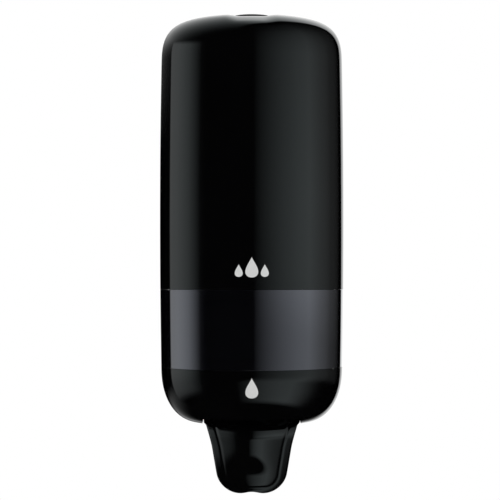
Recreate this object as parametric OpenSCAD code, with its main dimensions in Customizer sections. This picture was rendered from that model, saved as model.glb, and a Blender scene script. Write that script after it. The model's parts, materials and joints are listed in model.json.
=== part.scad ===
// Wall-mounted liquid soap dispenser with a push lever.
// X points right, the front faces -Y, Z points up. The origin is on the wall,
// halfway up the cover.

/* [Cover] */
// Width of the cover
cover_w = 112.5; // [110:0.5:114]
// Distance from the wall to the front of the cover
cover_depth = 114; // [112:0.5:116]
// Height of the cover, from its flat bottom to the top of its crown
cover_h = 246; // [242:1:256]
// Wall thickness of the cover
cover_wall = 2.6; // [2.2:0.1:2.8]
// How far the top falls from its middle to its side
crown = 3.5; // [3:0.5:6]
// How far each side draws in at the top and the bottom
side_bow = 1.5; // [1:0.1:2]
// Gap between the cover's rear edge and the wall
rear_gap = 1; // [0.6:0.1:1.2]

/* [Window] */
// Height of the lower edge of the level window above the cover's bottom
window_low = 33.5; // [30:0.5:36]
// Height of the level window
window_h = 47.4; // [44:0.1:50]

/* [Lever] */
// How far the push lever hangs below the cover
lever_drop = 41.6; // [38:0.2:43]
// Radius of the lever's face, seen from the side
lever_face_r = 85; // [84:0.5:86]

/* [Pump] */
// Distance from the wall to the pump's centre line
pump_y = 54; // [53:0.5:55]
// Distance from the lever's pivot back to the pump's centre line
lever_arm = 32; // [31:0.5:33]

/* [Bottle] */
// Width of the refill bottle
bottle_w = 92; // [84:1:94]
// Depth of the refill bottle
bottle_d = 80; // [72:1:82]

/* [Wall holes] */
// Distance between the wall screws, side to side
holes_x = 70; // [64:1:76]
// Distance between the wall screws, top to bottom
holes_z = 150; // [140:1:156]
// Diameter of each wall screw hole
hole_d = 5.5; // [5:0.1:6]

/* [Hidden] */
$fn = 72;
eps = 0.01;
bottom = -cover_h / 2;               // flat bottom of the cover
top = cover_h / 2;                   // top of the crown
cover_r = cover_w / 2;
cover_y = -(cover_depth - cover_r);  // axis of the cover's round front
pump_at = -pump_y;

// Corners of the cover, seen from the front
top_corner = [26, 24, 3.2];          // width, height, exponent
low_corner = [24, 32, 2.2];
corner_steps = 10;
side_steps = 7;
crown_steps = 4;

// Level window: a thin face over a thicker plug, which starts a step further in
window_face_t = 1.2;
window_face_y = 20;
window_step = 3;

// Cover hinge
hinge_y = -9.5;
hinge_z = bottom + 9;
hinge_boss_r = 6;
hinge_pin_r = 2.5;
ear_x = [34, 40];
knuckles_x = [[30, 33.7], [40.3, 45]];
hinge_pin_x = [29.5, 45.5];
rear_round = 8.5;                    // lower rear corner, round about the hinge
foot_y = -18;                        // the bottom wall starts here
foot_half_w = 46.2;

// Opening in the cover's bottom for the lever and nozzle
opening_half_w = 29.6;
opening_r = 44;

// Back plate
plate_t = 3;
plate_gap = 0.7;
plate_foot = [45.3, 20];             // half width and height of its narrow foot
rim_t = 2;
rim_depth = 7;
keeper_half_w = 10;

// Lever pivot
pivot_y = pump_at - lever_arm;
pivot_z = bottom + 14;
pin_r = 2.5;
run_fit = 0.06;                      // radial clearance of a turning fit
hub_r = 6;
cheek_x = [19, 23];
fork_x = [10, 14];
pad_r = 3;
pad_gap = 0.2;
lever_taper = 9.3;                   // slope of the lever's sides, in degrees
flare = [13, 1.5];                   // the sides widen by flare[1] over the top flare[0]
flare_steps = 5;
flare_end = 1.5;                     // below the cover's bottom
tip_r = 14.6;
tip_x = 6.9;
notch = [11, 1.2];                   // the tip's notch: radius, depth
ridge = [3.5, 0.85];                 // the face's middle ridge: roundness, side slope
face_steps = 16;
skin_t = 4;                          // measured from front to back
lever_wide = 29.1;
arm_x = [24, 28];
arm_boss_r = 7;
bracket_rear_t = 3.5;
shelf_front = -74;                   // the shelf ends here

// Pump, heights above the cover's bottom
flange_low = bottom + 14 + pad_r + pad_gap;
flange_t = 2.8;
flange_r = 16;
nozzle_r = 6;
nozzle_tip = bottom - 12;
bore_r = 3;
stem_r = 5;
pump_low = bottom + 31;
pump_high = bottom + 67;
pump_r = 11;
chamber_r = 9;
chamber = [bottom + 34, bottom + 64];
piston = [bottom + 38, bottom + 42.5];
piston_neck_r = 4;
lip_fit = 0.05;
gasket_t = 1.5;
pump_flange = [bottom + 44, bottom + 46];
shelf = [bottom + 38, bottom + 41];
collar = [bottom + 34.5, bottom + 56];
collar_r = 19;
groove_r = 16;
neck_r = 14;
neck_bore_r = 12.2;
bottle_low = bottom + 58;
bottle_top = bottom + 206;
bottle_wall = 1;
bottle_corner = 24;
spring_wire_r = 0.5;
spring_r = 7.9;
spring_turns = 6;
spring_z = [piston[1] + 1.6 + spring_wire_r, chamber[1] - spring_wire_r];

// Lock, on the top of the cover
lock_y = -66;
lock_seat = top - 0.7;
lock_flange = [13, 1];               // radius, thickness
lock_body_r = 8;
lock_body_low = bottom + 229;
lock_head = [11.5, 1.1, 0.5];        // radius, height, rise of its domed top
lock_slot = [2.4, 12, 0.7];          // width, length, depth
lock_core_r = 5;
nut_top = top - cover_wall;
nut_h = 4;
cam_z = bottom + 224;
cam_t = 2;
cam_hook = [16, 19];                 // inner and outer radius of the hook
post_r = 13.5;                       // the keeper's post, from the lock's axis
keeper_z = bottom + 213;

// Fasteners
screw_r = 1.5;
screw_head = [2.9, 2];

// ---- Shared shapes ----

function draw_in(z) = side_bow * pow(z / top, 2);

function crown_drop(r) = crown * pow(r / cover_r, 2);

// Right half of the cover's front outline, moved in by inset, from bottom to top.
function low_points(inset) = [
    for (i = [0:corner_steps])
        let (t = 90 * i / corner_steps, w = low_corner[0], h = low_corner[1], e = 2 / low_corner[2],
             z = bottom + h - (h - inset) * pow(cos(t), e))
            [cover_r - w + (w - inset - draw_in(z)) * pow(sin(t), e), z]];

function side_points(inset) =
    let (low = bottom + low_corner[1], high = top - crown - top_corner[1])
        [for (i = [1:side_steps - 1])
            let (z = low + (high - low) * i / side_steps)
                [cover_r - inset - draw_in(z), z]];

function top_points(inset) = [
    for (i = [corner_steps:-1:0])
        let (t = 90 * i / corner_steps, w = top_corner[0], h = top_corner[1], e = 2 / top_corner[2],
             u = pow(sin(t), e), rise = (h - inset) * pow(cos(t), e),
             r = cover_r - w + (w - inset) * u,
             z = top - crown_drop(r) - h + rise)
            [r - draw_in(z) * u, z]];

function crown_points(inset) = [
    for (i = [crown_steps - 1:-1:0])
        let (r = (cover_r - top_corner[0]) * i / crown_steps)
            [r, top - inset - crown_drop(r)]];

function half_outline(inset) =
    concat([[0, bottom + inset]], low_points(inset), side_points(inset), top_points(inset),
           crown_points(inset));

function full_outline(inset) =
    let (half = half_outline(inset), n = len(half))
        concat(half, [for (i = [n - 2:-1:1]) [-half[i][0], half[i][1]]]);

// The cover's solid form: a half round front on a straight rear.
module cover_form(inset) {
    translate([0, cover_y, 0])
        rotate_extrude(angle = 180, start = 180) polygon(half_outline(inset));
    translate([0, eps, 0]) rotate([90, 0, 0])
        linear_extrude(eps - cover_y) polygon(full_outline(inset));
}

// A slab seen from the side: children are drawn in (y, z), and it spans x[0] to x[1].
module side_slab(x) {
    translate([x[0], 0, 0]) rotate([90, 0, 90]) linear_extrude(x[1] - x[0]) children();
}

module both_sides() {
    children();
    mirror([1, 0, 0]) children();
}

module x_rod(r, x, y, z) {
    translate([x[0], y, z]) rotate([0, 90, 0]) cylinder(r = r, h = x[1] - x[0]);
}

module z_tube(outer, inner, low, high) {
    translate([0, 0, low]) difference() {
        cylinder(r = outer, h = high - low);
        translate([0, 0, -1]) cylinder(r = inner, h = high - low + 2);
    }
}

// A screw along Y whose head faces the front; its seat is at y.
module wall_screw(x, y, z, length) {
    translate([x, y, z]) rotate([90, 0, 0]) {
        difference() {
            cylinder(r = screw_head[0], h = screw_head[1]);
            for (a = [0, 90])
                rotate([0, 0, a]) translate([-1.6, -0.4, 0.9]) cube([3.2, 0.8, 2]);
        }
        translate([0, 0, -length]) cylinder(r = screw_r, h = length + eps);
    }
}

// ---- Wall side ----

bracket_screws_at = [for (x = [-21, 21], z = [bottom + 27, bottom + 45]) [x, z]];
keeper_screws_at = [for (x = [-7, 7]) [x, bottom + 204]];

module plate_outline() {
    intersection() {
        polygon(full_outline(cover_wall + plate_gap));
        union() {
            translate([-plate_foot[0], bottom + 1]) square([2 * plate_foot[0], plate_foot[1]]);
            translate([-cover_r, bottom + plate_foot[1]]) square([cover_w, cover_h]);
        }
    }
}

module plate_rim() {
    difference() {
        intersection() {
            polygon(full_outline(cover_wall + plate_gap));
            translate([-cover_r, bottom + 58]) square([cover_w, cover_h]);
        }
        polygon(full_outline(cover_wall + plate_gap + rim_t));
    }
}

module hinge_knuckle(x) {
    side_slab(x) {
        translate([hinge_y, hinge_z]) circle(hinge_boss_r);
        translate([hinge_y, hinge_z - hinge_boss_r])
            square([-hinge_y - plate_t + eps, 2 * hinge_boss_r]);
    }
}

module back_plate() {
    color("dimgray") difference() {
        union() {
            rotate([90, 0, 0]) linear_extrude(plate_t) plate_outline();
            translate([0, -plate_t + eps, 0]) rotate([90, 0, 0])
                linear_extrude(rim_depth) plate_rim();
            both_sides() for (x = knuckles_x) hinge_knuckle(x);
        }
        both_sides() x_rod(hinge_pin_r, [hinge_pin_x[0] - 1, hinge_pin_x[1] + 1], hinge_y, hinge_z);
        for (x = [-1, 1], z = [-1, 1])
            translate([x * holes_x / 2, 1, z * holes_z / 2]) rotate([90, 0, 0])
                cylinder(d = hole_d, h = plate_t + 2);
        for (p = concat(bracket_screws_at, keeper_screws_at))
            translate([p[0], 1, p[1]]) rotate([90, 0, 0]) cylinder(r = screw_r, h = plate_t + 2);
    }
}

module bracket_arm_outline() {
    translate([pivot_y, pivot_z]) circle(arm_boss_r);
    polygon([[-plate_t, bottom + 16], [-plate_t, bottom + 52], [shelf_front, shelf[1]],
             [pivot_y - 3, pivot_z + 6.3], [pivot_y, pivot_z - 2], [-79, bottom + 9.5]]);
}

module pump_bracket() {
    color("gray") difference() {
        union() {
            translate([-arm_x[1], -plate_t - bracket_rear_t, bottom + 16])
                cube([2 * arm_x[1], bracket_rear_t, 36]);
            translate([-arm_x[1], shelf_front, shelf[0]])
                cube([2 * arm_x[1], -shelf_front - plate_t, shelf[1] - shelf[0]]);
            both_sides() side_slab(arm_x) bracket_arm_outline();
        }
        translate([0, pump_at, shelf[0] - 1]) cylinder(r = groove_r + 0.3, h = 6);
        translate([-groove_r - 0.3, shelf_front - 1, shelf[0] - 1])
            cube([2 * groove_r + 0.6, pump_at - shelf_front + 1, 6]);
        x_rod(pin_r, [-30, 30], pivot_y, pivot_z);
        for (p = bracket_screws_at)
            translate([p[0], -plate_t + 1, p[1]]) rotate([90, 0, 0])
                cylinder(r = screw_r, h = bracket_rear_t + 2);
    }
}

module bracket_screws() {
    color("silver") for (p = bracket_screws_at)
        wall_screw(p[0], -plate_t - bracket_rear_t, p[1], bracket_rear_t + plate_t - 0.5);
}

module cover_hinge_pins() {
    color("silver") both_sides() x_rod(hinge_pin_r, hinge_pin_x, hinge_y, hinge_z);
}

module lock_keeper() {
    post_y = lock_y + post_r;
    color("gray") difference() {
        union() {
            translate([-12, -plate_t - 3, bottom + 198]) cube([24, 3, 18]);
            translate([-keeper_half_w, post_y - 2, keeper_z])
                cube([2 * keeper_half_w, -plate_t - post_y + 2, 3]);
            translate([-2.5, post_y - 2, keeper_z + 3 - eps]) cube([5, 4, 12]);
        }
        for (p = keeper_screws_at)
            translate([p[0], -plate_t + 1, p[1]]) rotate([90, 0, 0])
                cylinder(r = screw_r, h = 5);
    }
}

module keeper_screws() {
    color("silver") for (p = keeper_screws_at) wall_screw(p[0], -plate_t - 3, p[1], 5.5);
}

// ---- Cover ----

module cover_side_mask() {
    side_slab([-cover_r - 1, cover_r + 1]) {
        translate([-cover_depth - 1, bottom - 1]) square([cover_depth + 1 + hinge_y, cover_h + 2]);
        translate([hinge_y - eps, hinge_z]) square([-hinge_y - rear_gap, cover_h]);
        translate([hinge_y, hinge_z]) circle(rear_round);
    }
}

module window_band(front_gap, edge) {
    translate([-cover_r - 1, -cover_depth - 1, bottom + window_low + edge])
        cube([cover_w + 2, cover_depth + 1 - front_gap, window_h - 2 * edge]);
}

module cover_ear() {
    side_slab(ear_x) {
        translate([hinge_y, hinge_z]) circle(hinge_boss_r);
        polygon([[hinge_y, hinge_z + hinge_boss_r - eps], [-36, bottom + 2.4],
                 [foot_y - 4, bottom + 1.8], [foot_y - 2, bottom + 2.4],
                 [hinge_y, hinge_z - hinge_boss_r + eps]]);
    }
}

// The wall all round, open at the rear, without the bottom's rear part.
module cover_wall_shell() {
    difference() {
        intersection() {
            difference() {
                cover_form(0);
                cover_form(cover_wall);
            }
            cover_side_mask();
        }
        translate([-foot_half_w, foot_y, bottom - 1]) cube([2 * foot_half_w, -foot_y + 1, 11]);
    }
}

module front_cover() {
    color("black") difference() {
        union() {
            cover_wall_shell();
            both_sides() cover_ear();
        }
        // bottom opening, with its round front
        translate([-opening_half_w, cover_y, bottom - 1])
            cube([2 * opening_half_w, -cover_y + 1, 20]);
        intersection() {
            translate([0, cover_y, bottom - 1]) cylinder(r = opening_r, h = 20);
            translate([-opening_half_w, -cover_depth, bottom - 1])
                cube([2 * opening_half_w, cover_depth, 20]);
        }
        both_sides() x_rod(hinge_pin_r + run_fit, [30, 44], hinge_y, hinge_z);
        // window recess, and the opening behind it
        difference() {
            window_band(window_face_y, 0);
            cover_form(window_face_t);
        }
        window_band(window_face_y + window_step, window_step);
        // seats and hole of the lock
        translate([0, lock_y, lock_seat]) cylinder(r = lock_flange[0] + 0.05, h = 5);
        translate([0, lock_y, nut_top - 6]) cylinder(r = lock_flange[0], h = 6);
        translate([0, lock_y, top - 12]) cylinder(r = lock_body_r, h = 20);
    }
}

module level_window() {
    slack = 0.05;
    color([0.25, 0.24, 0.28, 0.8]) {
        intersection() {
            difference() {
                cover_form(0);
                cover_form(window_face_t - slack);
            }
            window_band(window_face_y + slack, slack);
        }
        intersection() {
            difference() {
                cover_form(window_face_t - slack - eps);
                cover_form(cover_wall);
            }
            window_band(window_face_y + window_step + slack, window_step + slack);
        }
    }
}

// ---- Lock ----

module lock_housing() {
    color("dimgray") translate([0, lock_y, 0]) difference() {
        union() {
            translate([0, 0, lock_seat]) cylinder(r = lock_flange[0], h = lock_flange[1]);
            translate([0, 0, lock_body_low]) cylinder(r = lock_body_r, h = lock_seat - lock_body_low);
        }
        translate([0, 0, lock_body_low - 1]) cylinder(r = lock_core_r + run_fit, h = 40);
    }
}

module lock_nut() {
    color("silver") translate([0, lock_y, nut_top - nut_h]) difference() {
        cylinder(r = 12, h = nut_h, $fn = 6);
        translate([0, 0, -1]) cylinder(r = lock_body_r, h = nut_h + 2);
    }
}

module lock_barrel() {
    base = lock_seat + lock_flange[1] + 0.05;
    dome_r = (pow(lock_head[0], 2) + pow(lock_head[2], 2)) / (2 * lock_head[2]);
    color("black") translate([0, lock_y, 0]) difference() {
        union() {
            intersection() {
                translate([0, 0, base + lock_head[1] - dome_r]) sphere(r = dome_r);
                translate([0, 0, base]) cylinder(r = lock_head[0], h = 4);
            }
            translate([0, 0, cam_z + cam_t]) cylinder(r = lock_core_r, h = base - cam_z - cam_t + eps);
            translate([-3, -3, cam_z]) cube([6, 6, cam_t + eps]);
        }
        translate([-lock_slot[0] / 2, -lock_slot[1] / 2, base + lock_head[1] - lock_slot[2]])
            cube([lock_slot[0], lock_slot[1], 4]);
        translate([0, 0, cam_z - 1]) cylinder(r = screw_r, h = 10);
    }
}

// The cam's hook is an arc about the lock's axis, so it slides in behind the post.
module lock_cam() {
    arm_turn = -38;
    hook_sweep = 55;
    color("silver") translate([0, lock_y, cam_z]) difference() {
        union() {
            cylinder(r = 8, h = cam_t);
            rotate([0, 0, arm_turn]) translate([0, -3, 0]) cube([cam_hook[1] - 1, 6, cam_t]);
            rotate_extrude(angle = hook_sweep, start = arm_turn - 8)
                translate([cam_hook[0], 0]) square([cam_hook[1] - cam_hook[0], cam_t]);
        }
        translate([-3, -3, -1]) cube([6, 6, cam_t + 2]);
    }
}

module lock_cam_screw() {
    color("silver") translate([0, lock_y, cam_z]) {
        translate([0, 0, -2]) difference() {
            cylinder(r = 5, h = 2);
            translate([-4, -0.5, -1]) cube([8, 1, 1.8]);
        }
        translate([0, 0, -eps]) cylinder(r = screw_r, h = 8);
    }
}

// ---- Lever ----

// How far the face falls back at x, from its middle ridge.
function face_fall(x) = sqrt(pow(ridge[0], 2) + pow(ridge[1] * x, 2)) - ridge[0];

function face_edge(back) = [
    for (i = [-face_steps / 2:face_steps / 2])
        let (x = lever_wide * 2 * i / face_steps)
            [lever_face_r - back - face_fall(x), x]];

// The lever's skin: its section turned about an axis across the cover.
module lever_skin() {
    outer = face_edge(0);
    inner = face_edge(skin_t);
    translate([0, hinge_y, bottom]) rotate([0, 90, 0])
        rotate_extrude(angle = 41, start = -97)
            polygon(concat(outer, [for (i = [face_steps:-1:0]) inner[i]]));
}

// Right side of the lever from its round tip up to the cover's bottom, in (x, z).
function lever_side() =
    let (tip_z = bottom - lever_drop + tip_r, top_z = bottom - flare_end,
         touch = [tip_x + tip_r * cos(lever_taper), tip_z - tip_r * sin(lever_taper)])
        concat([touch],
               [for (i = [0:flare_steps])
                   let (t = i / flare_steps, z = top_z - flare[0] * (1 - t))
                       [touch[0] + (z - touch[1]) * tan(lever_taper) + flare[1] * pow(t, 1.5), z]],
               [[lever_wide, bottom]]);

// Front outline of the lever, in (x, z).
module lever_outline() {
    side = lever_side();
    difference() {
        union() {
            for (s = [-1, 1]) translate([s * tip_x, bottom - lever_drop + tip_r]) circle(tip_r);
            translate([-tip_x, bottom - lever_drop]) square([2 * tip_x, tip_r]);
            polygon(concat(side, [for (i = [len(side) - 1:-1:0]) [-side[i][0], side[i][1]]]));
            translate([-lever_wide, bottom - eps]) square([2 * lever_wide, 3]);
            translate([-cheek_x[1], bottom]) square([2 * cheek_x[1], 10]);
        }
        translate([0, bottom - lever_drop + notch[1] - notch[0]]) circle(notch[0]);
    }
}

module push_lever() {
    color("black") difference() {
        union() {
            intersection() {
                lever_skin();
                rotate([90, 0, 0]) linear_extrude(cover_depth) lever_outline();
            }
            x_rod(hub_r, [-cheek_x[1], cheek_x[1]], pivot_y, pivot_z);
            both_sides() side_slab(cheek_x) {
                polygon([[pivot_y - hub_r, pivot_z], [pivot_y + hub_r, pivot_z], [-72, bottom + 2],
                         [pivot_y + 2, bottom + 2]]);
                intersection() {
                    translate([hinge_y, bottom]) circle(lever_face_r - face_fall(cheek_x[1]) - 0.2);
                    polygon([[-82, bottom + 2 + eps], [-72, bottom + 2 + eps], [-70, bottom - 14]]);
                }
            }
            both_sides() side_slab(fork_x) {
                translate([pump_at, pivot_z]) circle(pad_r);
                translate([pivot_y, pivot_z - 2.6]) square([lever_arm, 4.8]);
            }
        }
        x_rod(pin_r + run_fit, [-30, 30], pivot_y, pivot_z);
    }
}

module lever_pin() {
    color("silver") x_rod(pin_r, [-29.5, 29.5], pivot_y, pivot_z);
}

module lever_pin_clips() {
    color("silver") both_sides() translate([arm_x[1], pivot_y, pivot_z]) rotate([0, 90, 0])
        difference() {
            cylinder(r = 4.5, h = 0.8);
            translate([0, 0, -1]) cylinder(r = pin_r, h = 3);
            translate([0, -1.6, -1]) cube([6, 3.2, 3]);
        }
}

// ---- Refill and pump ----

module bottle_plan(inset) {
    half = [bottle_w / 2 - bottle_corner, bottle_d / 2 - bottle_corner];
    for (x = [-1, 1], y = [-1, 1])
        translate([x * half[0], pump_at + y * half[1]]) circle(bottle_corner - inset);
    translate([-half[0], pump_at - bottle_d / 2 + inset])
        square([2 * half[0], bottle_d - 2 * inset]);
    translate([-bottle_w / 2 + inset, pump_at - half[1]])
        square([bottle_w - 2 * inset, 2 * half[1]]);
}

module refill_bottle() {
    neck_low = pump_flange[1] + gasket_t;
    color("white") difference() {
        union() {
            translate([0, 0, bottle_low]) linear_extrude(bottle_top - bottle_low) bottle_plan(0);
            translate([0, pump_at, neck_low]) cylinder(r = neck_r, h = bottle_low - neck_low + eps);
        }
        translate([0, 0, bottle_low + bottle_wall])
            linear_extrude(bottle_top - bottle_low - 2 * bottle_wall) bottle_plan(bottle_wall);
        translate([0, pump_at, neck_low - 1]) cylinder(r = neck_bore_r, h = 20);
    }
}

module bottle_collar() {
    color("whitesmoke") translate([0, pump_at, 0]) difference() {
        translate([0, 0, collar[0]]) cylinder(r = collar_r, h = collar[1] - collar[0]);
        z_tube(collar_r + 1, groove_r, shelf[0] - 0.2, shelf[1] + 0.2);
        translate([0, 0, collar[0] - 1]) cylinder(r = pump_r, h = 20);
        translate([0, 0, pump_flange[0]]) cylinder(r = neck_r, h = 20);
    }
}

module neck_gasket() {
    color("lightgray") translate([0, pump_at, 0])
        z_tube(neck_r, pump_r, pump_flange[1], pump_flange[1] + gasket_t);
}

module pump_body() {
    color("white") translate([0, pump_at, 0]) difference() {
        union() {
            translate([0, 0, pump_low]) cylinder(r = pump_r, h = pump_high - pump_low);
            translate([0, 0, pump_flange[0]])
                cylinder(r = neck_r, h = pump_flange[1] - pump_flange[0]);
        }
        translate([0, 0, chamber[0]]) cylinder(r = chamber_r, h = chamber[1] - chamber[0]);
        translate([0, 0, pump_low - 1]) cylinder(r = stem_r + run_fit, h = 6);
        translate([0, 0, chamber[1] - 1]) cylinder(r = 1.5, h = 6);
        for (a = [0:60:300]) rotate([0, 0, a])
            translate([4.2, 0, chamber[1] - 1]) cylinder(r = 1.2, h = 6);
    }
}

// The inlet valve is a rubber mushroom pressed into the pump's top.
module inlet_valve() {
    color("lightgray") translate([0, pump_at, 0]) {
        translate([0, 0, chamber[1] - 0.8]) cylinder(r = 6.2, h = 0.8);
        translate([0, 0, chamber[1] - eps]) cylinder(r = 1.5, h = 3 + eps);
        translate([0, 0, chamber[1] + 3 - eps]) cylinder(r = 2.4, h = 1.6);
    }
}

// A coil spring: rings of points along a helix, joined by quads.
module pump_spring() {
    sides = 6;
    per_turn = 14;
    rings = spring_turns * per_turn;
    points = [
        for (i = [0:rings], j = [0:sides - 1])
            let (turn = 360 * i / per_turn, a = 360 * j / sides,
                 r = spring_r + spring_wire_r * cos(a),
                 z = spring_z[0] + (spring_z[1] - spring_z[0]) * i / rings)
                [r * cos(turn), r * sin(turn), z + spring_wire_r * sin(a)]];
    walls = [
        for (i = [0:rings - 1], j = [0:sides - 1])
            let (k = (j + 1) % sides)
                [i * sides + j, i * sides + k, (i + 1) * sides + k, (i + 1) * sides + j]];
    ends = [[for (j = [sides - 1:-1:0]) j], [for (j = [0:sides - 1]) rings * sides + j]];
    color("silver") translate([0, pump_at, 0]) polyhedron(points, concat(walls, ends));
}

module pump_plunger() {
    color("white") translate([0, pump_at, 0]) difference() {
        union() {
            translate([0, 0, flange_low]) cylinder(r = flange_r, h = flange_t);
            translate([0, 0, nozzle_tip + 3])
                cylinder(r = nozzle_r, h = flange_low - nozzle_tip - 3 + eps);
            translate([0, 0, flange_low + flange_t - eps])
                cylinder(r = stem_r, h = piston[0] - flange_low - flange_t + eps);
            translate([0, 0, piston[0] - eps])
                cylinder(r = piston_neck_r, h = piston[1] - piston[0] + 2 * eps);
            translate([0, 0, piston[1]]) cylinder(r = stem_r, h = 1.5);
        }
        translate([0, 0, nozzle_tip - 1]) cylinder(r = bore_r, h = 80);
    }
}

module piston_seal() {
    color("lightgray") translate([0, pump_at, 0]) {
        z_tube(chamber_r - lip_fit, chamber_r - 1.2, piston[0], piston[1]);
        z_tube(chamber_r - 1.2 + eps, piston_neck_r, piston[0] + 1, piston[1]);
    }
}

module outlet_valve() {
    color("lightgray") translate([0, pump_at, nozzle_tip + 1.5]) difference() {
        cylinder(r = nozzle_r, h = 1.5);
        for (a = [0, 90]) rotate([0, 0, a]) translate([-2.2, -0.15, -1]) cube([4.4, 0.3, 4]);
    }
}

module nozzle_cap() {
    color("white") translate([0, pump_at, 0]) {
        z_tube(nozzle_r + 1.5, nozzle_r, nozzle_tip + 1.5 - eps, nozzle_tip + 9);
        z_tube(nozzle_r + 1.5, bore_r, nozzle_tip, nozzle_tip + 1.5);
    }
}

back_plate();
pump_bracket();
bracket_screws();
cover_hinge_pins();
front_cover();
level_window();
lock_housing();
lock_nut();
lock_barrel();
lock_cam();
lock_cam_screw();
lock_keeper();
keeper_screws();
push_lever();
lever_pin();
lever_pin_clips();
refill_bottle();
bottle_collar();
neck_gasket();
pump_body();
pump_spring();
inlet_valve();
pump_plunger();
piston_seal();
outlet_valve();
nozzle_cap();
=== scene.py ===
"""Looks of the wall mounted soap dispenser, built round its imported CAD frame."""
import json
import math

import bmesh
import bpy
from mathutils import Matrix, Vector


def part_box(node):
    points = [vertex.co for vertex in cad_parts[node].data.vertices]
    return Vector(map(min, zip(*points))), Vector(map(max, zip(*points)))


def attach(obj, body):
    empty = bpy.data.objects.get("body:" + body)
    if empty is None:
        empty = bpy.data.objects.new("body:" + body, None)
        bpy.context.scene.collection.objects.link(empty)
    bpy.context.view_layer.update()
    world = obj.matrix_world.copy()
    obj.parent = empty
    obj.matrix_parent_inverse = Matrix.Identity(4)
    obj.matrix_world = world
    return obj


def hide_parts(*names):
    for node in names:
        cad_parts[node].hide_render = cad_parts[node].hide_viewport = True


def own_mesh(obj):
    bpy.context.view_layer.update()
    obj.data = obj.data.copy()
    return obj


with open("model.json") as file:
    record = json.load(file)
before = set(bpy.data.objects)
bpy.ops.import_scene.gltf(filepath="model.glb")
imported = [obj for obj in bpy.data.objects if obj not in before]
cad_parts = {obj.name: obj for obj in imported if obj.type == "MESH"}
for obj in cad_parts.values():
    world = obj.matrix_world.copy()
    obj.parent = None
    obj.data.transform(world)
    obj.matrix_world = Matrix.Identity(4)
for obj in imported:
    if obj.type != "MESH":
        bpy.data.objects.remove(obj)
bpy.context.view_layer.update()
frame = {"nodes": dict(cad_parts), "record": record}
MM = 0.001

# ---- Sizes, from the CAD frame and from the cover's outline rule ----

cover_lo, cover_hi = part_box("front_cover")
window_lo, window_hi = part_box("level_window")
barrel_lo, barrel_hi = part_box("lock_barrel")
pin_lo, pin_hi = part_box("lever_pin")
hinge_lo, hinge_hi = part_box("cover_hinge_pins")

COVER_R = (cover_hi.x - cover_lo.x) / 2
COVER_Y = cover_lo.y + COVER_R          # axis of the cover's round front
BOTTOM = -123 * MM
TOP = 123 * MM
CROWN = 3.5 * MM
SIDE_BOW = 1.5 * MM
TOP_CORNER = (26 * MM, 24 * MM, 3.2)    # width, height, exponent
LOW_CORNER = (24 * MM, 32 * MM, 2.2)
WALL = 2.6 * MM                         # thickness of the cover's wall
REAR = -1 * MM                          # its rear edge, just off the wall
REAR_ROUND = 8.5 * MM                   # radius of that edge about the hinge
HINGE_Y = (hinge_lo.y + hinge_hi.y) / 2
HINGE_Z = (hinge_lo.z + hinge_hi.z) / 2
FOOT_Y = -18 * MM                       # rear end of the cover's flat bottom
FOOT_STEP = 0.15 * MM                   # run of the step there
FOOT_HALF = 46.2 * MM                   # half width between its sides behind that
OPEN_HALF = 29.6 * MM                   # half width of the opening for the lever
OPEN_R = 44 * MM                        # that opening's reach toward the front
WINDOW_Y = window_hi.y
WINDOW_GAP = 0.06 * MM
PANE_T = 2.4 * MM
PANE_TRIM = 0.05 * MM                   # off the pane's height at each edge
PANE_INSET = 0.02 * MM                  # how far its face stands in from the cover's
LOCK_AT = (barrel_lo.xy + barrel_hi.xy) / 2
LOCK_HOLE = 11 * MM                     # radius of the cover's hole below the lock's flange
LOCK_FLANGE = 13 * MM
SCOOP = (16 * MM, 1.2 * MM)             # half width and depth of the dip in front of the lock
SCOOP_RUN = (9 * MM, 5 * MM)            # length that it takes to fade in, height to fade out
SCOOP_LOW = TOP - 9 * MM                # height of its lower end

PIVOT_Y = (pin_lo.y + pin_hi.y) / 2
PIVOT_Z = (pin_lo.z + pin_hi.z) / 2
LEVER_FACE_R = 85 * MM                  # from the cover's hinge to the lever's face
LEVER_WIDE = 29.1 * MM                  # half width in the cover's opening
LEVER_DROP = 41.6 * MM                  # how far it hangs below the cover
LEVER_TAPER = math.radians(9.3)
FLARE = (13 * MM, 1.5 * MM, 1.5 * MM)   # height, extra width, end below the cover
TAB = (23 * MM, 9 * MM)                 # half width and top of its part inside the cover
SHOULDER = (3 * MM, 0.6 * MM)           # top and bottom of its widest part, above the cover's bottom
TIP_R = 13.6 * MM                       # radius of its tip's corners, and half the way between them
TIP_X = 7.9 * MM
NOTCH = 1.2 * MM                        # depth of the notch in the tip
RIDGE = (9 * MM, 0.92)                  # radius of its crest, slope of its flanks
SKIN_T = 4.8 * MM                       # thickness of the lever's front panel at its crest
SKIN_LEAST = 1.6 * MM                   # and at its thinnest


# ---- Mesh helpers ----

def mesh_object(name, verts, faces, smooth=True):
    """An object in the scene from points and faces, with doubles joined."""
    mesh = bpy.data.meshes.new(name)
    mesh.from_pydata([tuple(v) for v in verts], [], faces)
    bm = bmesh.new()
    bm.from_mesh(mesh)
    bmesh.ops.remove_doubles(bm, verts=bm.verts, dist=1e-6)
    bmesh.ops.dissolve_degenerate(bm, edges=bm.edges, dist=1e-7)
    loose = [v for v in bm.verts if not v.link_faces]
    bmesh.ops.delete(bm, geom=loose, context="VERTS")
    bmesh.ops.recalc_face_normals(bm, faces=bm.faces)
    bm.to_mesh(mesh)
    bm.free()
    mesh.polygons.foreach_set("use_smooth", [smooth] * len(mesh.polygons))
    obj = bpy.data.objects.new(name, mesh)
    bpy.context.scene.collection.objects.link(obj)
    return obj


def bevelled(obj, width, segments=3, angle=35, harden=False):
    """Round the object's edges that are sharper than the angle."""
    bevel = obj.modifiers.new("edge_round", "BEVEL")
    bevel.width = width
    bevel.segments = segments
    bevel.limit_method = "ANGLE"
    bevel.angle_limit = math.radians(angle)
    bevel.harden_normals = harden
    bevel.miter_outer = "MITER_ARC"
    return obj


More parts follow.
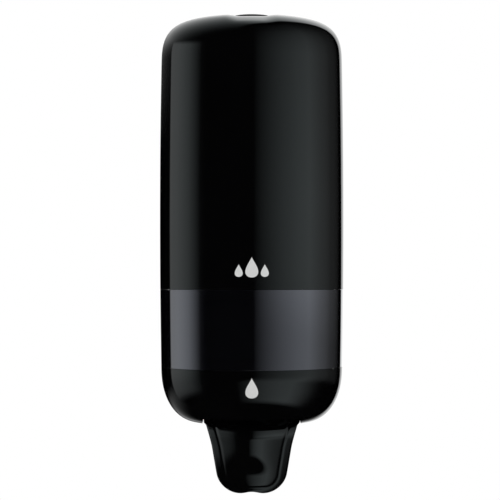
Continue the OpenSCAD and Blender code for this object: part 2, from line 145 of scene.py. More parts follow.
def smoothstep(t):
    """0 below 0 and 1 above 1, smoothly between."""
    t = min(1.0, max(0.0, t))
    return t * t * (3 - 2 * t)


def resample(points, count):
    """count + 1 points at equal steps along a line of points."""
    reach = [0.0]
    for a, b in zip(points, points[1:]):
        reach.append(reach[-1] + math.dist(a, b))
    out = []
    k = 0
    for i in range(count + 1):
        want = reach[-1] * i / count
        while k < len(points) - 2 and reach[k + 1] < want:
            k += 1
        span = reach[k + 1] - reach[k] or 1.0
        t = min(1.0, (want - reach[k]) / span)
        out.append(tuple(a + (b - a) * t for a, b in zip(points[k], points[k + 1])))
    return out


# ---- Cover and window ----

def draw_in(z):
    """How far a side of the cover stands in from its widest at a height."""
    return SIDE_BOW * (z / TOP) ** 2


def low_line(r_from, z_to, steps=400):
    """The cover's outline from its bottom opening at r_from up to the height z_to."""
    width, height, power = LOW_CORNER
    flat = COVER_R - width
    points = [(r_from, BOTTOM)] if r_from < flat else []
    for i in range(steps + 1):
        t = math.pi / 2 * i / steps
        z = BOTTOM + height - height * max(0.0, math.cos(t)) ** (2 / power)
        r = flat + (width - draw_in(z)) * math.sin(t) ** (2 / power)
        if r >= r_from and z < z_to:
            if not points:
                points.append((r_from, z))
            points.append((r, z))
    return points + side_line(points[-1][1], z_to)[1:]


def cover_radius(z):
    """Radius of the cover's round front at a height below its top corner."""
    width, height, power = LOW_CORNER
    v = min(1.0, max(0.0, (BOTTOM + height - z) / height))
    return COVER_R - width + (width - draw_in(z)) * (1 - v ** power) ** (1 / power)


def side_line(z_from, z_to, steps=60):
    """The cover's outline between two heights, low corner or straight side."""
    heights = [z_from + (z_to - z_from) * i / steps for i in range(steps + 1)]
    return [(cover_radius(z), z) for z in heights]


def top_line(z_from, steps=500):
    """The cover's outline from the height z_from up to the top of the crown."""
    width, height, power = TOP_CORNER
    points = side_line(z_from, TOP - CROWN - height)[:-1]
    for i in range(steps + 1):
        t = math.pi / 2 * (1 - i / steps)
        u = math.sin(t) ** (2 / power)
        r = COVER_R - width + width * u
        z = TOP - CROWN * (r / COVER_R) ** 2 - height + height * max(0.0, math.cos(t)) ** (2 / power)
        points.append((r - draw_in(z) * u, z))
    inner = COVER_R - width
    for i in range(1, 61):
        r = inner * (1 - i / 60)
        points.append((r, TOP - CROWN * (r / COVER_R) ** 2))
    return points


def opening_radius(turn):
    """Radius of the bottom opening's edge, at an angle from the front."""
    side = abs(math.sin(turn))
    return min(OPEN_R, OPEN_HALF / side) if side > 1e-6 else OPEN_R


ARC_COLUMNS = 144                       # of the round front; rows below, across and above the window
LOW_ROWS = 40
BAND_ROWS = 14
TOP_ROWS = 96


def side_ys():
    """Where the columns of the cover's straight sides stand, front to rear."""
    ys = [COVER_Y + (WINDOW_Y - COVER_Y) * i / 12 for i in range(1, 13)]
    ys += [FOOT_Y, FOOT_Y + FOOT_STEP]
    return ys


def cover_columns():
    """From the left rear round to the right rear: ("arc", angle from the front, 0, 0), or
    ("side", -1 or 1, y, 0), or ("side", -1 or 1, None, share of the way to the rear edge)."""
    ys = side_ys()
    tail = [i / 6 for i in range(1, 7)]
    right = [("side", 1, y, 0.0) for y in ys] + [("side", 1, None, t) for t in tail]
    left = [("side", -1, y, 0.0) for y in ys] + [("side", -1, None, t) for t in tail]
    arc = [("arc", -math.pi / 2 + math.pi * i / ARC_COLUMNS, 0.0, 0.0)
           for i in range(ARC_COLUMNS + 1)]
    return left[::-1] + arc + right


def rear_y(z, r):
    """The cover's rear edge, round about the hinge at its lower corner."""
    if r < FOOT_HALF and z < HINGE_Z:
        return FOOT_Y + 2 * FOOT_STEP
    if z >= HINGE_Z:
        return REAR
    return HINGE_Y + math.sqrt(max(0.0, REAR_ROUND ** 2 - (z - HINGE_Z) ** 2))


def column_point(column, r, z):
    """A column's point at a height, at the radius or half width r."""
    kind, value, y, t = column
    if kind == "arc":
        return (r * math.sin(value), COVER_Y - r * math.cos(value), z)
    if y is None:
        start = side_ys()[-1]
        y = start + (rear_y(z, r) - start) * t
    return (value * r, y, z)


def column_lines(column, band):
    """Rows of one column: below, across and above the window band."""
    kind, value, y, _ = column
    if kind == "arc":
        start = opening_radius(value)
    else:
        start = OPEN_HALF if y is not None and y <= FOOT_Y + 1e-6 else FOOT_HALF
    low = resample(low_line(start, band[0]), LOW_ROWS)
    middle = resample(side_line(*band), BAND_ROWS)
    high = resample(top_line(band[1]), TOP_ROWS)
    return low, middle, high


def in_window(column):
    """Whether the window band crosses a column."""
    kind, _, y, _ = column
    return kind == "arc" or (y is not None and y <= WINDOW_Y + 1e-6)


def scooped(point):
    """A point of the cover's skin, lowered where the crown dips in front of the lock."""
    x, y, z = point
    half_width, depth = SCOOP
    across = smoothstep((half_width - abs(x)) / (0.6 * half_width))
    along = smoothstep((LOCK_AT.y - LOCK_FLANGE - y) / SCOOP_RUN[0])
    above = smoothstep((z - SCOOP_LOW) / SCOOP_RUN[1])
    return (x, y, z - depth * across * along * above)


def make_cover():
    """The cover's shell, open for the window, the lever and the lock."""
    band = (window_lo.z - WINDOW_GAP, window_hi.z + WINDOW_GAP)
    columns = cover_columns()
    verts, faces = [], []
    rows = LOW_ROWS + BAND_ROWS + TOP_ROWS + 1
    for column in columns:
        low, middle, high = column_lines(column, band)
        for r, z in low + middle[1:] + high[1:]:
            verts.append(scooped(column_point(column, r, z)))
    for j in range(len(columns) - 1):
        hole = in_window(columns[j]) and in_window(columns[j + 1])
        for i in range(rows - 1):
            if hole and LOW_ROWS <= i < LOW_ROWS + BAND_ROWS:
                continue
            a, b = j * rows + i, (j + 1) * rows + i
            corners = [Vector(verts[k]) for k in (a, b, b + 1, a + 1)]
            middle = sum(corners, Vector()) / 4
            if middle.z > TOP - 5 * MM and (middle.xy - LOCK_AT).length < LOCK_HOLE:
                continue
            faces.append((a, b, b + 1, a + 1))
    cover = mesh_object("cover_shell", verts, faces)
    thicken(cover, WALL)
    bevelled(cover, 0.15 * MM, 3, 50, harden=True)
    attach(cover, "cover")
    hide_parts("front_cover")
    return cover


def thicken(obj, thickness):
    """Turn a skin into a wall that grows inward."""
    shell = obj.modifiers.new("wall", "SOLIDIFY")
    shell.thickness = thickness
    shell.offset = -1
    shell.use_even_offset = True
    shell.use_quality_normals = True
    return shell


def make_window():
    """The smoked pane, on the cover's own outline."""
    columns = [c for c in cover_columns() if in_window(c)]
    line = resample(side_line(window_lo.z + PANE_TRIM, window_hi.z - PANE_TRIM), BAND_ROWS)
    verts, faces = [], []
    for column in columns:
        kind, value, y, t = column
        if y is not None and abs(y - WINDOW_Y) < 1e-6:
            column = (kind, value, y - WINDOW_GAP, t)
        verts += [column_point(column, r - PANE_INSET, z) for r, z in line]
    rows = len(line)
    for j in range(len(columns) - 1):
        for i in range(rows - 1):
            a, b = j * rows + i, (j + 1) * rows + i
            faces.append((a, b, b + 1, a + 1))
    window = mesh_object("level_window_pane", verts, faces)
    thicken(window, PANE_T)
    bevelled(window, 0.1 * MM, 3, 50, harden=True)
    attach(window, "cover")
    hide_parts("level_window")
    return window


# ---- Printed mark: plain water drops ----

UPPER_MARK = (-29 * MM, 12 * MM)        # height of its middle, height of its tallest drop
LOWER_MARK = (-99.6 * MM, 12 * MM)
DROP_WIDE = 0.91                        # scales a drop's width, to 0.63 of its height
INK = 0.03 * MM                         # how far the print stands off the cover


def print_drop(verts, faces, x_mid, z_mid, tall):
    """Add a drop, pointed at its top, that lies on the cover's round front."""
    rows, columns = 40, 12
    first = len(verts)
    for i in range(rows + 1):
        t = math.pi * i / rows
        half = tall / 2 * DROP_WIDE * math.sin(t) * math.sin(t / 2) ** 1.6
        z = z_mid + tall / 2 * math.cos(t)
        for j in range(columns + 1):
            x = x_mid + half * (2 * j / columns - 1)
            r = cover_radius(z) + INK
            verts.append((x, COVER_Y - math.sqrt(r * r - x * x), z))
    for i in range(rows):
        for j in range(columns):
            a = first + i * (columns + 1) + j
            b = a + columns + 1
            faces.append((a, a + 1, b + 1, b))


SIDE_DROP = (7.6 * MM, 0.62, 0.16)      # distance across; size and drop as shares of the large one


def make_mark(name, mark, sides):
    """One large drop, with a smaller one on each side if sides is true."""
    z_mid, tall = mark
    verts, faces = [], []
    print_drop(verts, faces, 0.0, z_mid, tall)
    if sides:
        across, size, lower = SIDE_DROP
        for side in (-1, 1):
            print_drop(verts, faces, side * across, z_mid - tall * lower, tall * size)
    ink = mesh_object(name, verts, faces)
    thicken(ink, 2 * INK)
    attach(ink, "cover")
    return ink


# ---- Lever ----

def tip_z():
    """Height of the middle of the lever's round tip corners."""
    return BOTTOM - LEVER_DROP + TIP_R


def touch_point():
    """Where the lever's straight side meets its round tip."""
    return (TIP_X + TIP_R * math.cos(LEVER_TAPER), tip_z() - TIP_R * math.sin(LEVER_TAPER))


def side_x(z):
    """The lever's half width at a height: a straight taper with a flared top."""
    touch_x, touch_z = touch_point()
    height, extra, end = FLARE
    t = max(0.0, 1 - (BOTTOM - end - z) / height)
    return touch_x + (z - touch_z) * math.tan(LEVER_TAPER) + extra * min(1.0, t) ** 1.5


def lever_loop():
    """The lever's front outline, clockwise from its top middle, as (x, z)."""
    flare_z = BOTTOM - FLARE[2]
    tab_x, tab_z = TAB[0], BOTTOM + TAB[1]
    high_z, low_z = BOTTOM + SHOULDER[0], BOTTOM + SHOULDER[1]
    right = [(0.0, tab_z), (tab_x, tab_z), (tab_x, high_z), (LEVER_WIDE, high_z), (LEVER_WIDE, low_z)]
    for i in range(1, 9):
        t = smoothstep(i / 8)
        right.append((LEVER_WIDE + (side_x(flare_z) - LEVER_WIDE) * t,
                      low_z + (flare_z - low_z) * i / 8))
    for i in range(1, 25):
        z = flare_z + (touch_point()[1] - flare_z) * i / 24
        right.append((side_x(z), z))
    for i in range(1, 41):
        a = -LEVER_TAPER - (math.pi / 2 - LEVER_TAPER) * i / 40
        right.append((TIP_X + TIP_R * math.cos(a), tip_z() + TIP_R * math.sin(a)))
    for i in range(1, 11):
        x = TIP_X * (1 - i / 10)
        notch = NOTCH / 2 * (1 + math.cos(math.pi * x / TIP_X))
        right.append((x, BOTTOM - LEVER_DROP + notch))
    line = resample(right, 190)
    return line + [(-x, z) for x, z in line[-2:0:-1]]


def edge_distance(x, z):
    """Distance from a point of the lever's face in to its side and tip edges."""
    x = abs(x)
    side = (side_x(z) - x) * math.cos(LEVER_TAPER)
    if z > touch_point()[1]:
        return side
    if x > TIP_X:
        return min(side, TIP_R - math.hypot(x - TIP_X, z - tip_z()))
    return min(side, z - tip_z() + TIP_R)


RIM_W = 5.2 * MM                        # from the side edge in to the crease, narrower at the tip
CREASE = (0.45 * MM, 0.8 * MM)          # depth and half width of the line inside the rim
ROUND_OFF = (1.2 * MM, 0.8 * MM)        # width and depth of the face's round edge
THROAT = (8.5 * MM, 2.9 * MM)           # height and depth of the roll into the cover
DISH = (0.5 * MM, -30 * MM, 10 * MM, 9.5 * MM, 3.1 * MM)    # x, z from the cover, half sizes, depth


def face_y(x, z):
    """Depth of the lever's face at (x, z)."""
    radius, slope = RIDGE
    reach = LEVER_FACE_R - math.hypot(radius, slope * x) + radius
    y = HINGE_Y - math.sqrt(reach ** 2 - (z - BOTTOM) ** 2)
    dish_x, dish_z, half_x, half_z, depth = DISH
    y += depth * math.exp(-((x - dish_x) / half_x) ** 2 - ((z - BOTTOM - dish_z) / half_z) ** 2)
    edge = edge_distance(x, z)
    rim = RIM_W * (1 - 0.4 * smoothstep((tip_z() - z) / TIP_R))
    y += CREASE[0] * math.exp(-((edge - rim) / CREASE[1]) ** 2)
    round_off = max(0.0, 1 - max(0.0, edge) / ROUND_OFF[0])
    y += ROUND_OFF[1] * (1 - math.sqrt(1 - min(1.0, round_off) ** 2))
    throat = min(2.0, max(0.0, 1 - (BOTTOM - z) / THROAT[0]))
    return y + THROAT[1] * throat ** 2


def make_lever_face():
    """The lever's tongue: rings that shrink from its outline to a centre, front and back."""
    loop = lever_loop()
    centre = (0.0, BOTTOM - 16 * MM)
    rings = 46
    count = len(loop)
    verts, faces = [], []
    for rear in (False, True):
        for k in range(rings):
            scale = 1 - (k / rings) * (0.35 + 0.65 * k / rings)
            for x, z in loop:
                px = centre[0] + (x - centre[0]) * scale
                pz = centre[1] + (z - centre[1]) * scale
                y = face_y(px, pz)
                if rear:
                    y = back_y(px, pz, y)
                verts.append((px, y, pz))
        y = face_y(*centre)
        verts.append((centre[0], back_y(*centre, y) if rear else y, centre[1]))
    per_side = rings * count + 1
    for side in (0, 1):
        base = side * per_side
        for k in range(rings - 1):
            for i in range(count):
                j = (i + 1) % count
                a, b = base + k * count + i, base + k * count + j
                faces.append((a, b, b + count, a + count))
        last = base + (rings - 1) * count
        for i in range(count):
            faces.append((last + i, last + (i + 1) % count, base + per_side - 1))
    for i in range(count):
        j = (i + 1) % count
        faces.append((i, j, per_side + j, per_side + i))
    lever = mesh_object("lever_tongue", verts, faces)
    bevelled(lever, 0.5 * MM, 3, 40)
    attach(lever, "lever")
    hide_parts("push_lever")
    return lever


def back_y(x, z, front):
    """Depth of the lever's rear face: a plain skin behind the front."""
    radius, slope = RIDGE
    reach = LEVER_FACE_R - SKIN_T - math.hypot(radius, slope * x) + radius
    y = HINGE_Y - math.sqrt(reach ** 2 - (z - BOTTOM) ** 2)
    return max(y, front + SKIN_LEAST)


def side_prism(name, outline, x_from, x_to):
    """A slab across X from an outline in (y, z)."""
    n = len(outline)
    verts = [(x, y, z) for x in (x_from, x_to) for y, z in outline]
    faces = [tuple(range(n)), tuple(range(n, 2 * n))]
    faces += [(i, (i + 1) % n, n + (i + 1) % n, n + i) for i in range(n)]
    return mesh_object(name, verts, faces, smooth=False)


def circle_points(y, z, r, start=0.0, sweep=360.0, steps=32):
    """Points of an arc in the YZ plane; a whole circle leaves out the repeated end."""
    return [(y + r * math.cos(math.radians(start + sweep * i / steps)),
             z + r * math.sin(math.radians(start + sweep * i / steps)))
            for i in range(steps + (0 if sweep >= 360 else 1))]


def x_tube(name, y, z, outer, inner, x_from, x_to, steps=48):
    """A tube along X."""
    verts, faces = [], []
    for x in (x_from, x_to):
        for r in (outer, inner):
            verts += [(x, py, pz) for py, pz in circle_points(y, z, r, steps=steps)]
    for i in range(steps):
        j = (i + 1) % steps
        outer_a, inner_a, outer_b, inner_b = (k * steps for k in range(4))
        faces.append((outer_a + i, outer_a + j, outer_b + j, outer_b + i))
        faces.append((inner_a + i, inner_a + j, inner_b + j, inner_b + i))
        faces.append((outer_a + i, outer_a + j, inner_a + j, inner_a + i))
        faces.append((outer_b + i, outer_b + j, inner_b + j, inner_b + i))
    return mesh_object(name, verts, faces, smooth=False)


HUB_R = 6 * MM
HUB_HALF = 23 * MM                      # half length
PIN_BORE_R = 2.56 * MM
CHEEK_X = (19 * MM, 22.9 * MM)          # inner and outer face, here and in FORK_X and EAR_X
FORK_X = (10 * MM, 14 * MM)
FORK_REACH = 32 * MM                    # from the lever's pivot back to the pump's axis
PAD_R = 3 * MM
EAR_X = (34 * MM, 40 * MM)
EAR_R = 6 * MM
FRAME_EDGE = 0.4 * MM                   # bevel of the frame's and ears' edges


def make_lever_frame():
    """The lever's hub, cheeks and fork, inside the dispenser."""
    parts = [x_tube("lever_hub", PIVOT_Y, PIVOT_Z, HUB_R, PIN_BORE_R, -HUB_HALF, HUB_HALF)]
    pad_y = PIVOT_Y + FORK_REACH
    for side, word in ((-1, "left"), (1, "right")):
        cheek = [(PIVOT_Y - 5.5 * MM, PIVOT_Z - 2.5 * MM), (PIVOT_Y + 5.5 * MM, PIVOT_Z - 2.5 * MM),
                 (-72.5 * MM, BOTTOM + 2 * MM), (-70.5 * MM, BOTTOM - 11 * MM),
                 (-74.5 * MM, BOTTOM - 11 * MM), (-77.4 * MM, BOTTOM + 1 * MM),
                 (PIVOT_Y + 2 * MM, BOTTOM + 3 * MM)]
        parts.append(side_prism("lever_cheek_" + word, cheek, side * CHEEK_X[0], side * CHEEK_X[1]))
        fork = [(PIVOT_Y + 5 * MM, PIVOT_Z - 2.6 * MM)]
        fork += circle_points(pad_y, PIVOT_Z, PAD_R, -90, 180, 16)
        fork += [(pad_y - 4 * MM, PIVOT_Z + 2.2 * MM), (PIVOT_Y + 5 * MM, PIVOT_Z + 2.2 * MM)]
        parts.append(side_prism("lever_fork_" + word, fork, side * FORK_X[0], side * FORK_X[1]))
    for part in parts:
        bevelled(part, FRAME_EDGE, 2, 40)
        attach(part, "lever")
    return parts


def make_cover_ears():
    """The cover's two hinge ears, with their bores."""
    ears = []
    for side, word in ((-1, "left"), (1, "right")):
        outline = circle_points(HINGE_Y, HINGE_Z, EAR_R, -90, 180, 24)
        outline += [(-36 * MM, BOTTOM + 2.6 * MM), (-22 * MM, BOTTOM + 1.9 * MM),
                    (-20 * MM, BOTTOM + 2.4 * MM)]
        near, far = side * EAR_X[0], side * EAR_X[1]
        web = side_prism("cover_ear_" + word, outline, near, far)
        bore = x_tube("bore", HINGE_Y, HINGE_Z, PIN_BORE_R, 0.1 * MM,
                      near - side * MM, far + side * MM)
        cut = web.modifiers.new("bore", "BOOLEAN")
        cut.operation = "DIFFERENCE"
        cut.object = bore
        bpy.context.view_layer.objects.active = web
        bpy.ops.object.modifier_apply(modifier="bore")
        bpy.data.objects.remove(bore)
        bevelled(web, FRAME_EDGE, 2, 40)
        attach(web, "cover")
        ears.append(web)
    return ears


# ---- Pump spring ----

SPRING_WIRE_R = 0.5 * MM
SPRING_TURNS = 6


def make_pump_spring():
    """The pump's coil spring at its rest length, fixed to the wall unit."""
    lo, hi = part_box("pump_spring")
    per_turn, sides = 36, 10
    x_mid, y_mid = (lo.x + hi.x) / 2, (lo.y + hi.y) / 2
    coil_r = (hi.x - lo.x) / 2 - SPRING_WIRE_R
    rings = SPRING_TURNS * per_turn
    verts = []
    for i in range(rings + 1):
        turn = 2 * math.pi * i / per_turn
        z_ring = lo.z + SPRING_WIRE_R + (hi.z - lo.z - 2 * SPRING_WIRE_R) * i / rings
        for k in range(sides):
            a = 2 * math.pi * k / sides
            r = coil_r + SPRING_WIRE_R * math.cos(a)
            z = z_ring + SPRING_WIRE_R * math.sin(a)
            verts.append((x_mid + r * math.cos(turn), y_mid + r * math.sin(turn), z))
    faces = [tuple(range(sides)), tuple(range(rings * sides, (rings + 1) * sides))]
    for i in range(rings):
        for k in range(sides):
            a, b = i * sides + k, i * sides + (k + 1) % sides
            faces.append((a, b, b + sides, a + sides))
    spring = mesh_object("pump_return_spring", verts, faces)
    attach(spring, "wall_unit")
    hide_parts("pump_spring")
    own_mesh(spring)
    return spring


# ---- Materials ----

def new_material(name):
    """A material, its node tree and its shader."""
    material = bpy.data.materials.new(name)
    material.use_nodes = True
    nodes = material.node_tree.nodes
    shader = nodes["Principled BSDF"]
    return material, material.node_tree, shader


def noise(tree, scale, detail=2.0, rough=0.5):
    """Noise in the object's own space."""
    coords = tree.nodes.new("ShaderNodeTexCoord")
    texture = tree.nodes.new("ShaderNodeTexNoise")
    texture.inputs["Scale"].default_value = scale
    texture.inputs["Detail"].default_value = detail
    texture.inputs["Roughness"].default_value = rough
    tree.links.new(coords.outputs["Object"], texture.inputs["Vector"])
    return texture.outputs["Fac"]


def remap(tree, value, low, high, from_low=0.3, from_high=0.7):
    """Stretch a value's middle range, where noise mostly lies, to low .. high."""
    node = tree.nodes.new("ShaderNodeMapRange")
    node.inputs["From Min"].default_value = from_low
    node.inputs["From Max"].default_value = from_high
    node.inputs["To Min"].default_value = low
    node.inputs["To Max"].default_value = high
    tree.links.new(value, node.inputs["Value"])
    return node.outputs["Result"]


def tint(tree, value, dark, light):
    """A colour between dark and light."""
    node = tree.nodes.new("ShaderNodeMix")
    node.data_type = "RGBA"
    node.inputs["A"].default_value = (*dark, 1)
    node.inputs["B"].default_value = (*light, 1)
    tree.links.new(value, node.inputs["Factor"])
    return node.outputs["Result"]


def bump(tree, shader, height, strength, distance):
    """Let a height value tilt the shader's normal."""
    node = tree.nodes.new("ShaderNodeBump")
    node.inputs["Strength"].default_value = strength
    node.inputs["Distance"].default_value = distance
    tree.links.new(height, node.inputs["Height"])
    tree.links.new(node.outputs["Normal"], shader.inputs["Normal"])


def gloss_black():
    """Polished black moulding: faint orange peel and slightly uneven gloss."""
    material, tree, shader = new_material("black_gloss")
    peel = noise(tree, 260, 2.0)
    smear = noise(tree, 34, 4.0, 0.6)
    tree.links.new(tint(tree, smear, (0.0010, 0.0010, 0.0012), (0.0022, 0.0022, 0.0025)),
                   shader.inputs["Base Color"])
    tree.links.new(remap(tree, smear, 0.035, 0.075), shader.inputs["Roughness"])
    bump(tree, shader, peel, 0.06, 0.00012)
    shader.inputs["IOR"].default_value = 1.49
    shader.inputs["Specular Tint"].default_value = (0.86, 0.99, 1.0, 1)
    return material


def smoked_window():
    """Smoked polycarbonate: brighter highlights than the cover, slightly violet."""
    material, tree, shader = new_material("smoked_window")
    smear = noise(tree, 30, 3.0, 0.55)
    tree.links.new(tint(tree, smear, (0.0020, 0.0020, 0.0030), (0.0034, 0.0034, 0.0046)),
                   shader.inputs["Base Color"])
    tree.links.new(remap(tree, smear, 0.04, 0.07), shader.inputs["Roughness"])
    bump(tree, shader, noise(tree, 240, 2.0), 0.05, 0.00012)
    shader.inputs["IOR"].default_value = 2.03
    shader.inputs["Coat Weight"].default_value = 1.0
    shader.inputs["Coat Roughness"].default_value = 0.04
    shader.inputs["Specular Tint"].default_value = (0.75, 0.83, 1.0, 1)
    return material


def moulded(name, dark, light, rough, grain=900, depth=0.00006, strength=0.35):
    """Moulded plastic or rubber: mottled colour and roughness, with a fine grain."""
    material, tree, shader = new_material(name)
    mottle = noise(tree, 70, 3.0)
    tree.links.new(tint(tree, mottle, dark, light), shader.inputs["Base Color"])
    tree.links.new(remap(tree, mottle, rough[0], rough[1]), shader.inputs["Roughness"])
    bump(tree, shader, noise(tree, grain, 2.0), strength, depth)
    return material


def metal(name, dark, light, rough, stretch=(1, 1, 40)):
    """Drawn metal with fine streaks; stretch squeezes its noise along each axis."""
    material, tree, shader = new_material(name)
    coords = tree.nodes.new("ShaderNodeTexCoord")
    mapping = tree.nodes.new("ShaderNodeMapping")
    mapping.inputs["Scale"].default_value = stretch
    texture = tree.nodes.new("ShaderNodeTexNoise")
    texture.inputs["Scale"].default_value = 160
    texture.inputs["Detail"].default_value = 3
    tree.links.new(coords.outputs["Object"], mapping.inputs["Vector"])
    tree.links.new(mapping.outputs["Vector"], texture.inputs["Vector"])
    value = texture.outputs["Fac"]
    tree.links.new(tint(tree, value, dark, light), shader.inputs["Base Color"])
    tree.links.new(remap(tree, value, rough[0], rough[1]), shader.inputs["Roughness"])
    bump(tree, shader, value, 0.15, 0.00005)
    shader.inputs["Metallic"].default_value = 1.0
    return material


def bottle_plastic():
    """Milky polyethylene of the refill bottle."""
    material, tree, shader = new_material("bottle_plastic")
    mottle = noise(tree, 45, 3.0)
    tree.links.new(tint(tree, mottle, (0.74, 0.79, 0.82), (0.84, 0.88, 0.90)),
                   shader.inputs["Base Color"])
    tree.links.new(remap(tree, mottle, 0.28, 0.42), shader.inputs["Roughness"])
    bump(tree, shader, noise(tree, 300, 2.0), 0.12, 0.0001)
    shader.inputs["Subsurface Weight"].default_value = 0.25
    shader.inputs["Subsurface Radius"].default_value = (0.004, 0.005, 0.006)
    return material


def make_materials():
    """Every material, by the name of its slot."""
    return {
        "black_gloss": gloss_black(),
        "smoked_window": smoked_window(),
        "lock_plastic": moulded("lock_plastic", (0.004, 0.004, 0.0045), (0.008, 0.008, 0.009),
                                (0.36, 0.5), 500, 0.00004, 0.15),
        "dark_plastic": moulded("dark_plastic", (0.028, 0.029, 0.032), (0.042, 0.043, 0.047),
                                (0.42, 0.58)),
        "white_plastic": moulded("white_plastic", (0.74, 0.75, 0.74), (0.82, 0.83, 0.82),
                                 (0.30, 0.42), 700, 0.00004, 0.2),
        "bottle_plastic": bottle_plastic(),
        "seal_rubber": moulded("seal_rubber", (0.30, 0.31, 0.32), (0.38, 0.39, 0.40),
                               (0.55, 0.7), 500),
        "screw_steel": metal("screw_steel", (0.50, 0.51, 0.52), (0.66, 0.67, 0.68), (0.25, 0.4)),
        "pin_steel": metal("pin_steel", (0.58, 0.58, 0.59), (0.72, 0.72, 0.73), (0.16, 0.28),
                           (40, 1, 1)),
        "spring_steel": metal("spring_steel", (0.48, 0.48, 0.50), (0.62, 0.62, 0.64),
                              (0.22, 0.34)),
    }


def paint(obj, material):
    """Give an object one material."""
    obj.data.materials.clear()
    obj.data.materials.append(material)


def finish_cad_node(obj, material, width):
    """Weld and bevel for display only, so that edges catch light."""
    paint(obj, material)
    weld = obj.modifiers.new("weld", "WELD")
    weld.merge_threshold = 1e-6
    bevelled(obj, width, 2, 32)


# ---- Studio ----

FLOOR_Z = -1.25
FLOOR_R = 7.8
CAMERA_Y = -1.138
CAMERA_Z = BOTTOM + 0.0845
LENS = 126.7                            # millimetres, on a sensor 36 wide
SHIFT = (-0.0035, 0.067)                # the photo's framing


def make_camera():
    """A level camera in front of the dispenser, a little below its middle."""
    data = bpy.data.cameras.new("camera")
    camera = bpy.data.objects.new("camera", data)
    bpy.context.scene.collection.objects.link(camera)
    camera.location = (0, CAMERA_Y, CAMERA_Z)
    camera.rotation_euler = (math.pi / 2, 0, 0)
    data.sensor_width = 36
    data.lens = LENS
    data.shift_x, data.shift_y = SHIFT
    data.clip_start = 0.05
    data.clip_end = 60
    bpy.context.scene.camera = camera
    bpy.context.scene.view_settings.view_transform = "Standard"


def make_floor():
    """A matt disc far below, which the glossy parts don't mirror."""
    sides = 96
    verts = [(FLOOR_R * math.cos(2 * math.pi * i / sides), FLOOR_R * math.sin(2 * math.pi * i / sides),
              FLOOR_Z) for i in range(sides)]
    floor = mesh_object("floor", verts, [tuple(range(sides))], smooth=False)
    floor.visible_glossy = False
    material, tree, shader = new_material("floor")
    tree.links.new(tint(tree, noise(tree, 2, 3), (0.72, 0.72, 0.71), (0.78, 0.78, 0.77)),
                   shader.inputs["Base Color"])
    shader.inputs["Roughness"].default_value = 0.9
    paint(floor, material)


def math_node(tree, operation, a, b=None, c=None):
    """The result of one math node; each input is a number or a socket."""
    node = tree.nodes.new("ShaderNodeMath")
    node.operation = operation
    for socket, value in zip(node.inputs, (a, b, c)):
        if value is None:
            continue
        if isinstance(value, (int, float)):
            socket.default_value = value
        else:
            tree.links.new(value, socket)
    return node.outputs[0]


def ramp(tree, value, start, end):
    """0 before start and 1 after end, smoothly; start may be the larger."""
    node = tree.nodes.new("ShaderNodeMapRange")
    node.interpolation_type = "SMOOTHSTEP"
    node.inputs["From Min"].default_value = min(start, end)
    node.inputs["From Max"].default_value = max(start, end)
    node.inputs["To Min"].default_value = 0.0 if start < end else 1.0
    node.inputs["To Max"].default_value = 1.0 if start < end else 0.0
    tree.links.new(value, node.inputs["Value"])
    return node.outputs["Result"]


def profile(tree, value, stops):
    """A line through (value, result) stops, level beyond its ends; results stay under 2."""
    low, high = stops[0][0], stops[-1][0]
    span = tree.nodes.new("ShaderNodeMapRange")
    span.inputs["From Min"].default_value = low
    span.inputs["From Max"].default_value = high
    tree.links.new(value, span.inputs["Value"])
    node = tree.nodes.new("ShaderNodeValToRGB")
    line = node.color_ramp
    while len(line.elements) > 1:
        line.elements.remove(line.elements[-1])
    for k, (at, result) in enumerate(stops):
        place = (at - low) / (high - low)
        stop = line.elements[0] if k == 0 else line.elements.new(place)
        stop.position = place
        stop.color = (result / 2, result / 2, result / 2, 1)
    tree.links.new(span.outputs["Result"], node.inputs["Fac"])
    return math_node(tree, "MULTIPLY", node.outputs["Color"], 2)


# Stops are (degrees, brightness). Turn is 0 in front of the dispenser, 90 to its right and -90 to
# its left. Rise is 0 at its own level and 90 overhead.
RIGHT_BOX = [(2, 0), (8, 0.1), (40, 0.58), (60, 0.81), (76, 0.88), (96, 0.47), (116, 0.16), (142, 0)]
RIGHT_RISE = [(-52, 0), (-43, 0.87), (-12, 0.87), (-6, 0.66), (-3, 0.66), (-0.6, 0.97), (3, 1),
              (12, 0.75), (34, 0.45), (50, 0.18), (70, 0)]
RIGHT_LEAN = 22                         # the right box leans forward below
LEFT_BOX = [(-124.5, 0), (-123, 0.54), (-106, 0.74), (-96, 0.72), (-86, 0.6), (-76, 0.31),
            (-67, 0.03), (-60, 0)]
LEFT_RISE = [(-30, 0), (-26, 0.16), (-22, 0.5), (-18, 0.65), (-12, 0.75), (-4, 1), (15.5, 1),
             (19, 0.35), (21, 0.1), (25, 0)]
LOW_WALL = [(-177, 0), (-171, 0.6), (-160, 0.3), (-144, 0.2), (-124, 0.16), (-112, 0), (155, 0),
            (165, 0.4), (171, 0.7), (177, 0)]
FILL = 0.75                             # even light on matt surfaces, on top of the boxes


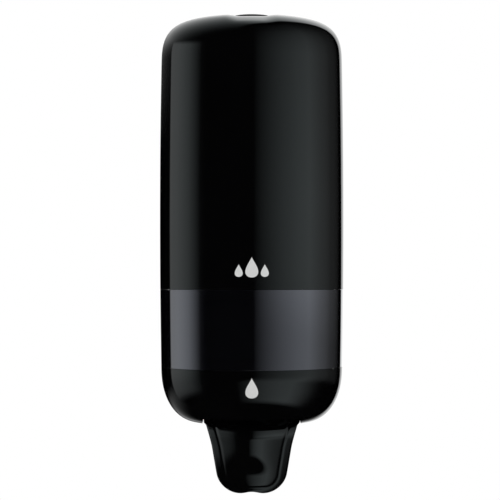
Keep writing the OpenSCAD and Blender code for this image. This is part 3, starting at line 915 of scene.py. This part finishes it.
def make_world():
    """A dark studio with two tall softboxes, a ceiling lit from behind and a white wall."""
    world = bpy.data.worlds.new("studio")
    bpy.context.scene.world = world
    world.use_nodes = True
    tree = world.node_tree
    background = tree.nodes["Background"]
    coords = tree.nodes.new("ShaderNodeTexCoord")
    split = tree.nodes.new("ShaderNodeSeparateXYZ")
    tree.links.new(coords.outputs["Generated"], split.inputs[0])
    x, y, z = split.outputs

    def product(*values):
        out = values[0]
        for value in values[1:]:
            out = math_node(tree, "MULTIPLY", out, value)
        return out

    def mixed(across, back, up, constant=0.0):
        """across * x + back * y + up * z + constant"""
        out = math_node(tree, "MULTIPLY_ADD", x, across, constant)
        out = math_node(tree, "MULTIPLY_ADD", y, back, out)
        return math_node(tree, "MULTIPLY_ADD", z, up, out)

    degrees = 180 / math.pi
    turn = product(math_node(tree, "ARCTAN2", x, product(y, -1)), degrees)
    rise = product(math_node(tree, "ARCSINE", z), degrees)
    leaned = math_node(tree, "MULTIPLY_ADD", ramp(tree, rise, -8, -15), RIGHT_LEAN, turn)
    low_end = product(ramp(tree, turn, 66, 112), ramp(tree, rise, -5, -14))
    right = product(profile(tree, leaned, RIGHT_BOX), profile(tree, rise, RIGHT_RISE),
                    math_node(tree, "SUBTRACT", 1, low_end))
    left = product(profile(tree, turn, LEFT_BOX), profile(tree, rise, LEFT_RISE))
    ceiling_edge = mixed(-1.9, 1, 0.48)     # the ceiling ends on the right at a straight edge
    wall_edge = mixed(-1.9, 1, 0.38)        # and so does the rear wall
    glow = math_node(tree, "MAXIMUM", mixed(0, 0.43, 0.51, -0.067), 0)
    strength = math_node(tree, "MULTIPLY_ADD", ramp(tree, x, -0.2, 0.1), 1.6, 3.4)
    ceiling = product(glow, glow, strength, ramp(tree, ceiling_edge, -0.03, 0.05),
                      ramp(tree, mixed(-1.5, 1, 0), -0.35, -0.05), ramp(tree, rise, 4, 20))
    wall = product(ramp(tree, wall_edge, -0.02, 0.06), ramp(tree, x, 0, 0.01), ramp(tree, y, 0.2, 0.5),
                   ramp(tree, rise, -32, -16))
    low_wall = product(profile(tree, turn, LOW_WALL), ramp(tree, rise, -10, -20),
                       ramp(tree, rise, -40, -18))
    light = right
    for part in (left, ceiling, wall, low_wall):
        light = math_node(tree, "MAXIMUM", light, part)
    ray = tree.nodes.new("ShaderNodeLightPath")
    light = math_node(tree, "MULTIPLY_ADD", ray.outputs["Is Diffuse Ray"], FILL, light)
    mix = tree.nodes.new("ShaderNodeMix")
    mix.data_type = "FLOAT"
    tree.links.new(ray.outputs["Is Camera Ray"], mix.inputs["Factor"])
    tree.links.new(light, mix.inputs["A"])
    mix.inputs["B"].default_value = 1.0
    tree.links.new(mix.outputs["Result"], background.inputs["Strength"])
    background.inputs["Color"].default_value = (1, 1, 1, 1)


def build():
    """The whole scene: the studio, the rebuilt pieces and the CAD nodes' materials."""
    make_camera()
    make_floor()
    make_world()
    materials = make_materials()
    made = [make_cover(), make_lever_face(), *make_lever_frame(), *make_cover_ears()]
    for obj in made:
        paint(obj, materials["black_gloss"])
    paint(make_window(), materials["smoked_window"])
    paint(make_mark("upper_drops", UPPER_MARK, True), materials["white_plastic"])
    paint(make_mark("lower_drop", LOWER_MARK, False), materials["white_plastic"])
    paint(make_pump_spring(), materials["spring_steel"])
    slots = {row["node"]: row["material_slot"] for row in frame["record"]["subparts"]}
    for name, obj in frame["nodes"].items():
        finish_cad_node(obj, materials[slots[name]], 0.25 * MM)


build()
